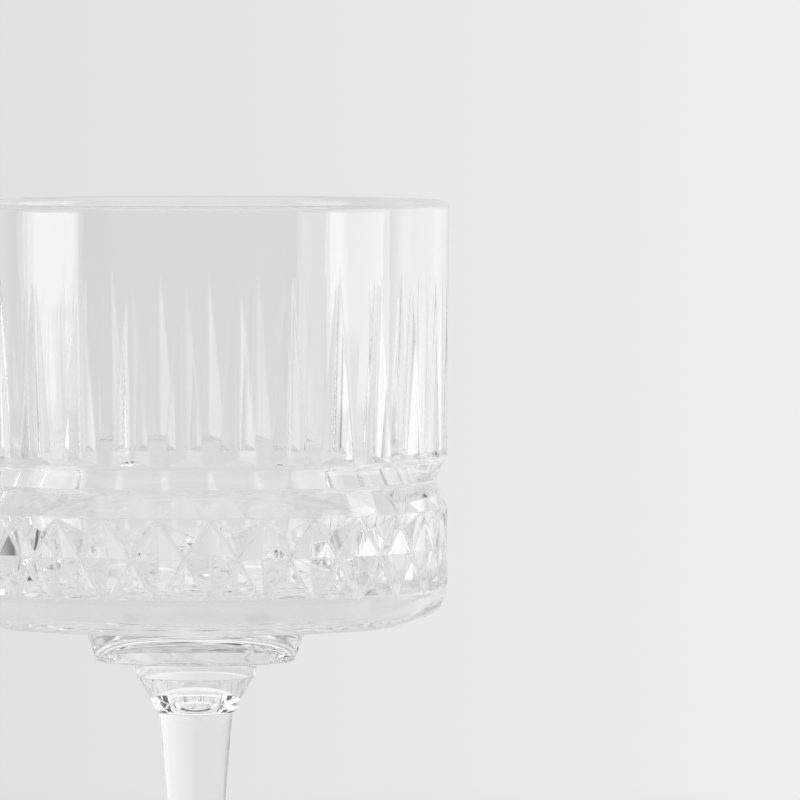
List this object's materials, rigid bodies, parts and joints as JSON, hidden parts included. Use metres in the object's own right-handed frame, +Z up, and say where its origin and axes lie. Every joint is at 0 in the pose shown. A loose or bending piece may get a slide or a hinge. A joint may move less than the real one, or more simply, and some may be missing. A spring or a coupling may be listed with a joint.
{
  "type": "nick and nora glass",
  "caption": "Stemmed cocktail glass in clear pressed glass: straight bowl with pointed flutes, a groove and a band of cut diamonds, on a collar, slim stem and round foot.",
  "frame": {"origin": "centre of the foot's resting face, on the table", "axes": "+Z up along the axis of the glass, towards the rim"},
  "size_m": [0.08, 0.08, 0.15],
  "materials": {
    "clear_glass": "fire polished"
  },
  "bodies": {
    "root": {"bowl": "clear_glass", "collar": "clear_glass", "button": "clear_glass", "stem": "clear_glass", "foot": "clear_glass"}
  },
  "joints": []
}
